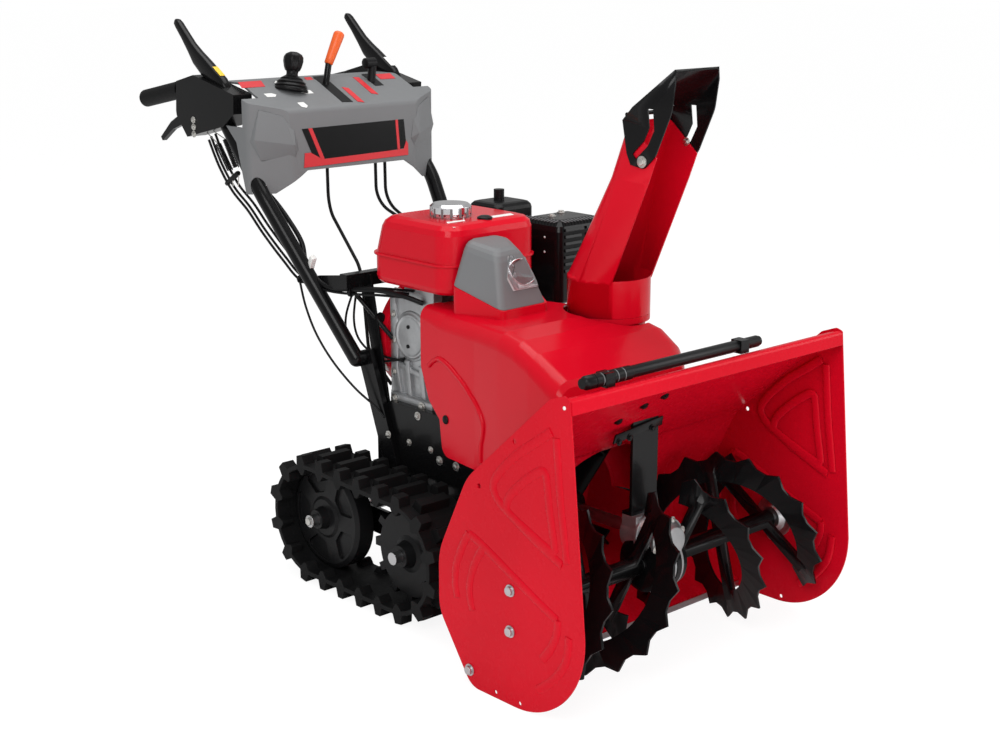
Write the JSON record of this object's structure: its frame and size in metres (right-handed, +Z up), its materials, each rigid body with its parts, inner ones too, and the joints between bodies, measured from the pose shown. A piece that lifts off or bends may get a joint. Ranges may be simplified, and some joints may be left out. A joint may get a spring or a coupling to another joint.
{
  "type": "tracked snow blower",
  "caption": "Tracked snow blower with a toothed auger intake, turning discharge chute with a tilting deflector, a petrol engine and a handlebar console.",
  "frame": {"origin": "middle of the footprint box on the ground", "axes": "+Z up, -Y towards the intake, +Y towards the operator, -X the machine's right side"},
  "size_m": [0.739, 1.5137, 1.128],
  "materials": {
    "red_paint": "gloss",
    "red_plastic": "gloss",
    "black_paint": "gloss",
    "bare_steel": "satin",
    "cast_aluminium": "satin",
    "black_rubber": "matt",
    "wheel_plastic": "matt",
    "strut_paint": "satin",
    "chrome": "polished",
    "grey_plastic": "matt",
    "black_plastic": "matt",
    "orange_plastic": "gloss",
    "clear_lens": "clear"
  },
  "bodies": {
    "undercarriage": {"track_right": "black_rubber", "track_left": "black_rubber", "idler_right": "wheel_plastic", "idler_left": "wheel_plastic", "sprocket_right": "wheel_plastic", "sprocket_left": "wheel_plastic", "drive_axle": "bare_steel", "idler_axle": "bare_steel", "track_beam_right": "black_paint", "track_beam_left": "black_paint"},
    "auger": {"auger_shaft": "bare_steel", "auger_right": "black_paint", "auger_left": "black_paint"},
    "impeller": {"impeller": "black_paint", "impeller_shaft": "bare_steel"},
    "chute": {"chute": "red_plastic"},
    "deflector": {"deflector": "black_paint"},
    "lift_cylinder": {"lift_cylinder": "strut_paint"},
    "lift_rod": {"lift_rod": "bare_steel"},
    "machine": {"air_cleaner": "black_plastic", "auger_bearing_left": "bare_steel", "auger_bearing_right": "bare_steel", "chute_base": "red_paint", "clearing_tool": "black_paint", "console": "grey_plastic", "control_cables": "black_rubber", "engine_block": "cast_aluminium", "front_cover": "red_plastic", "fuel_cap": "chrome", "fuel_tank": "red_plastic", "gearbox": "cast_aluminium", "gearbox_stay": "black_paint", "grip_left": "black_rubber", "grip_right": "black_rubber", "handle_brace": "black_paint", "handle_tube_left": "black_paint", "handle_tube_right": "black_paint", "headlight_cowl": "grey_plastic", "headlight_lens": "clear_lens", "housing_shell": "red_paint", "impeller_drum": "red_paint", "joystick": "black_plastic", "lever_bracket_left": "black_paint", "lever_bracket_right": "black_paint", "main_frame": "black_paint", "muffler": "black_paint", "paddle_left": "black_paint", "paddle_right": "black_paint", "recoil_cover": "red_plastic", "scraper_bar": "bare_steel", "shift_grip": "orange_plastic", "shift_lever": "black_plastic", "side_plate_left": "red_paint", "side_plate_right": "red_paint", "throttle_lever": "black_plastic", "transmission": "black_paint"}
  },
  "joints": [
    {"name": "housing_lift", "type": "hinge", "parent": "undercarriage", "child": "machine", "pos_m": [0, -0.16, 0.1315], "axis": [-1, 0, 0], "range_deg": [0, 8]},
    {"name": "impeller_spin", "type": "hinge", "parent": "machine", "child": "impeller", "pos_m": [0, -0.4, 0.224], "axis": [0, 1, 0], "continuous": true},
    {"name": "auger_spin", "type": "hinge", "parent": "machine", "child": "auger", "pos_m": [0, -0.58, 0.175], "axis": [1, 0, 0], "continuous": true},
    {"name": "chute_turn", "type": "hinge", "parent": "machine", "child": "chute", "pos_m": [0.093, -0.366, 0.6], "axis": [0, 0, 1], "range_deg": [-100, 100]},
    {"name": "deflector_tilt", "type": "hinge", "parent": "chute", "child": "deflector", "pos_m": [0.093, -0.457, 0.984], "axis": [1, 0, 0], "range_deg": [-5, 38]},
    {"name": "strut_swing", "type": "hinge", "parent": "machine", "child": "lift_cylinder", "pos_m": [0, 0.034, 0.33], "axis": [1, 0, 0], "range_deg": [0, 2.5]},
    {"name": "strut_stroke", "type": "slide", "parent": "lift_cylinder", "child": "lift_rod", "axis": [0, -0.3663, 0.9305], "range_m": [0, 0.037]}
  ],
  "couplings": [
    {"joint": "auger_spin", "follows": "impeller_spin", "ratio": 0.1},
    {"joint": "strut_swing", "follows": "housing_lift", "ratio": 0.29},
    {"joint": "strut_stroke", "follows": "housing_lift", "m_per_rad": 0.2545}
  ]
}
